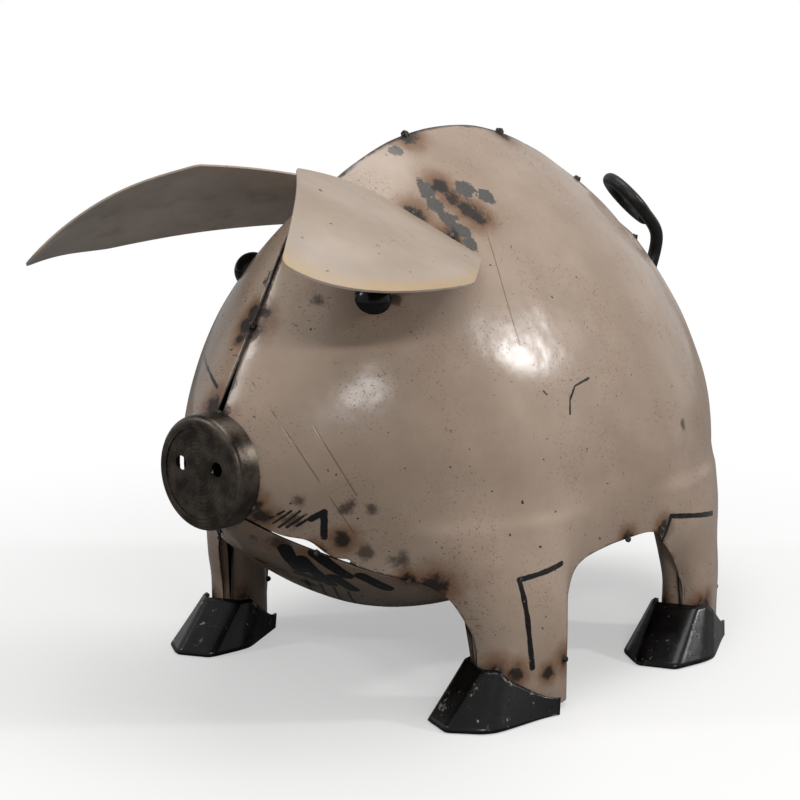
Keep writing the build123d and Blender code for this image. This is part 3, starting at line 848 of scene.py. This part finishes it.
def under_body(x, y, z):
    """Height of a point above the belly or lower panel edge; positive is inside the body."""
    _, _, _, edge_x, edge_z, belly_z, _, power = station(y)
    share = np.abs(x) / edge_x
    height = z - belly_z - (edge_z - belly_z) * np.minimum(share, 1) ** power
    return np.where(share < 1, height, -(np.abs(x) - edge_x))


def folded(half_x, half_y, corner):
    """Folded outline of a hoof from heel to heel round the toe: distances across and along."""
    corners = np.array([(-1, HEEL), (-1, -corner), (-corner, -1), (corner, -1), (1, -corner), (1, HEEL)])
    steps = np.linspace(0, 1, 14, endpoint=False)[:, None]
    made = np.concatenate([a + (b - a) * steps for a, b in zip(corners, corners[1:])] + [corners[-1:]])
    for _ in range(2):
        made[1:-1] = (made[:-2] + 2 * made[1:-1] + made[2:]) / 4
    return made * (half_x, half_y)


def leg_sheet(rows, turn, side):
    """Points and faces of a leg's inner sheet, from the floor up to the body."""
    columns = []
    z = np.arange(LEG_FOOT, LEG_TOP, 1.0)
    found = hermite(rows[:, 0], rows[:, 1:], z)
    for angle in LEG_ANGLES:
        across, along = outline(found[:, 2] - LEG_TUCK, found[:, 3] - LEG_TUCK, angle, LEG_POWER)
        x, y = placed((found[:, 0], found[:, 1]), turn, across, along, side)
        into = np.nonzero(under_body(x, y, z) > -BODY_OVERLAP)[0]
        last = into[0] if len(into) else len(z) - 1
        pick = np.linspace(0, max(last, 2), LEG_RINGS)
        columns.append(np.stack([np.interp(pick, np.arange(len(z)), v) for v in (x, y, z)], 1))
    faces = grid_faces(len(LEG_ANGLES), LEG_RINGS)
    return np.concatenate(columns), flipped(faces) if side > 0 else faces


def hoof_wrap(rows, turn, foot, side):
    """Points and faces of a folded wrap, flared round the toe, whose upper edge falls to the heel."""
    centre, half = rows[0][1:3], rows[0][3:5]
    grow = HOOF_PLAY + HOOF_SHEET
    collar = folded(half[0] + grow, half[1] + grow, COLLAR_CORNER)
    toe = folded(foot[2] + TOE_SPLAY, foot[3] + TOE_SPLAY, TOE_CORNER)
    heelward = np.abs(np.linspace(-1, 1, len(collar)))
    crest = HOOF_TOP - HOOF_FALL * smooth((heelward - FALL_START) / (1 - FALL_START))
    spread = 1 - FLARE_LOSS * smooth((heelward - FLARE_START) / (1 - FLARE_START))
    rings = []
    for v in np.linspace(0, 1, HOOF_RINGS):
        wrap = collar + (toe - collar) * (v * spread)[:, None]
        middle = [centre[i] + (foot[i] - centre[i]) * v * spread for i in (0, 1)]
        x, y = placed(middle, turn, wrap[:, 0], wrap[:, 1], side)
        rings.append(np.stack([x, y, crest * (1 - v) + HOOF_LIFT], 1))
    faces = grid_faces(HOOF_RINGS, len(collar))
    return np.concatenate(rings), flipped(faces) if side < 0 else faces


for which, (rows, turn, foot) in LEGS.items():
    for side, word, spots in ((1, "left", near_spots), (-1, "right", far_spots)):
        inner, faces = leg_sheet(rows, turn, side)
        make_piece(f"{which}_{word}_leg_sheet", inner, faces, [leg_paint, inside], SHEET, "painted_sheet",
                   f"{which}_{word}_leg_inner", marks(inner, spots))
        hoof, faces = hoof_wrap(rows, turn, foot, side)
        make_piece(f"{which}_{word}_hoof_wrap", hoof, faces, [hoof_black], HOOF_SHEET, "black_hoof",
                   f"{which}_{word}_hoof")

# Weld blobs: lumpy beads where the CAD has its tacks
weld_look = steel_look("weld_bead", srgb(26, 21, 18), srgb(112, 102, 94), 3.0, 0.45, 0.6, 0.0004)
# A bead's size as a share of its tack, and how much of its radius it may stand off its sheet
BEAD, STAND_OFF = 0.55, 0.35
# Lumps of a bead: how many per radius, and their height
LUMPS = ((1.7, 0.26), (4.3, 0.13))
for name in ("left_ear", "right_ear", "snout_cap", "tail"):
    mesh = nodes[name].data
    points = np.array([v.co for v in mesh.vertices]) * PER_METRE
    sheets.append((points, [list(f.vertices) for f in mesh.polygons]))
sheet_trees = [tree_of(points, faces) for points, faces in sheets]


def settled(place, reach):
    """A weld's middle, brought to within reach of the nearest sheet."""
    near = min((tree.find_nearest(Vector(place)) for tree in sheet_trees), key=lambda hit: hit[3])
    return np.array(near[0] + (Vector(place) - near[0]) * min(1.0, reach / max(near[3], 1e-6)))


def beads(name):
    """Points and faces of the lumpy beads of a weld node."""
    points, faces = [], []
    for number, (place, radius) in enumerate(weld_spots[name]):
        place = settled(place, radius * BEAD * STAND_OFF)
        bm = bmesh.new()
        bmesh.ops.create_icosphere(bm, subdivisions=4, radius=1.0)
        base = len(points)
        seed = Vector((number * 3.7, len(name) * 1.3, radius))
        for vert in bm.verts:
            lump = 1 + sum(high * noise.noise(vert.co * often + seed) for often, high in LUMPS)
            points.append(place + np.array(vert.co) * radius * lump * BEAD)
        faces += [[base + v.index for v in f.verts] for f in bm.faces]
        bm.free()
    return points, faces


for name in WELDS:
    make_piece(name + "_beads", *beads(name), [weld_look], 0, "weld_metal", name)

# CAD pieces that keep their shape get their finishes
ear_paint, snout_steel = ear_look(), snout_look()
eye_black = steel_look("eye_black", srgb(3, 3, 3), srgb(8, 7, 7), 10, 0.2, 0.0, 0.00005, 0.25)
bar_black = steel_look("bar_black", srgb(10, 9, 9), srgb(26, 25, 24), 10, 0.38, 0.0, 0.0002, 0.35)
finishes = {"left_ear": ear_paint, "right_ear": ear_paint, "snout_cap": snout_steel, "left_eye": eye_black,
            "right_eye": eye_black, "tail": bar_black}
for name, material in finishes.items():
    nodes[name].data.materials.clear()
    nodes[name].data.materials.append(material)

# Lamps: place, width and height in metres, and watts
LAMP_AIM = Vector((0, 0, 0.2))
LAMPS = {"top": ((0.1, 0.1, 1.9), (1.2, 1.2), 16),
         "rear_side": ((1.42, 1.1, 1.12), (0.16, 0.16), 11),
         "front_side": ((1.44, -1.21, 0.95), (0.5, 0.06), 10),
         "far_front": ((-1.03, -1.22, 1.4), (0.2, 0.2), 5)}
for name, (place, extent, watts) in LAMPS.items():
    light = bpy.data.lights.new(name, "AREA")
    light.shape, light.energy = "RECTANGLE", watts
    light.size, light.size_y = extent
    lamp = bpy.data.objects.new(name, light)
    lamp.location = place
    lamp.rotation_euler = (LAMP_AIM - Vector(place)).to_track_quat("-Z", "Y").to_euler()
    scene.collection.objects.link(lamp)

WHITE = (1, 1, 1, 1)
SOFT_LIGHT, GLOSSY_WHITE = 0.34, 0.35
FLOOR_HALF = 6
# Distances from the middle over which the floor fades to white, and its least share of white
FADE_START, FADE_END, FADE_LEAST = 0.24, 0.7, 0.4


def shown_rays(graph):
    """The light path, and 1 for rays that show a surface to the camera directly or through a gap."""
    ray = graph.node("ShaderNodeLightPath").outputs
    return ray, graph.math("MAXIMUM", ray["Is Camera Ray"], ray["Is Transmission Ray"])


def studio_world():
    """Soft light all round, white to the camera and part white in reflections."""
    scene.world = bpy.data.worlds.new("studio")
    scene.world.use_nodes = True
    graph = Graph(scene.world.node_tree)
    soft, white = graph.tree.nodes["Background"], graph.node("ShaderNodeBackground")
    for background, strength in ((soft, SOFT_LIGHT), (white, 1.0)):
        graph.put(background.inputs["Color"], WHITE)
        graph.put(background.inputs["Strength"], strength)
    ray, shown = shown_rays(graph)
    share = graph.math("MULTIPLY_ADD", ray["Is Glossy Ray"], GLOSSY_WHITE, shown)
    graph.put(graph.tree.nodes["World Output"].inputs["Surface"],
              graph.shader_mix(share, soft.outputs[0], white.outputs[0]))


def floor_look():
    """Pale floor that fades to white round the pig, and duller to the light that bounces off it."""
    look = Look("floor_pale")
    pale = look.mix(look.noise(400, 2), srgb(244, 244, 243), srgb(247, 247, 246))
    look.finish(Base_Color=pale, Roughness=0.9)
    away = look.node("ShaderNodeVectorMath", operation="LENGTH")
    look.put(away.inputs[0], look.place)
    _, shown = shown_rays(look)
    fade = look.step(away.outputs["Value"], FADE_START, FADE_END)
    fade = look.math("MULTIPLY", shown, look.math("MULTIPLY_ADD", fade, 1 - FADE_LEAST, FADE_LEAST))
    dull, white = look.node("ShaderNodeBsdfDiffuse"), look.node("ShaderNodeEmission")
    look.put(dull.inputs["Color"], srgb(138, 138, 138))
    surface = look.shader_mix(shown, dull.outputs[0], look.bsdf.outputs[0])
    look.put(look.tree.nodes["Material Output"].inputs["Surface"],
             look.shader_mix(fade, surface, white.outputs[0]))
    return look.material


studio_world()
floor_mesh = bpy.data.meshes.new("floor")
floor_corners = [(x * FLOOR_HALF, y * FLOOR_HALF, 0) for x, y in ((-1, -1), (1, -1), (1, 1), (-1, 1))]
floor_mesh.from_pydata(floor_corners, [], [(0, 1, 2, 3)])
floor_mesh.materials.append(floor_look())
floor = bpy.data.objects.new("floor", floor_mesh)
scene.collection.objects.link(floor)

bpy.context.view_layer.update()
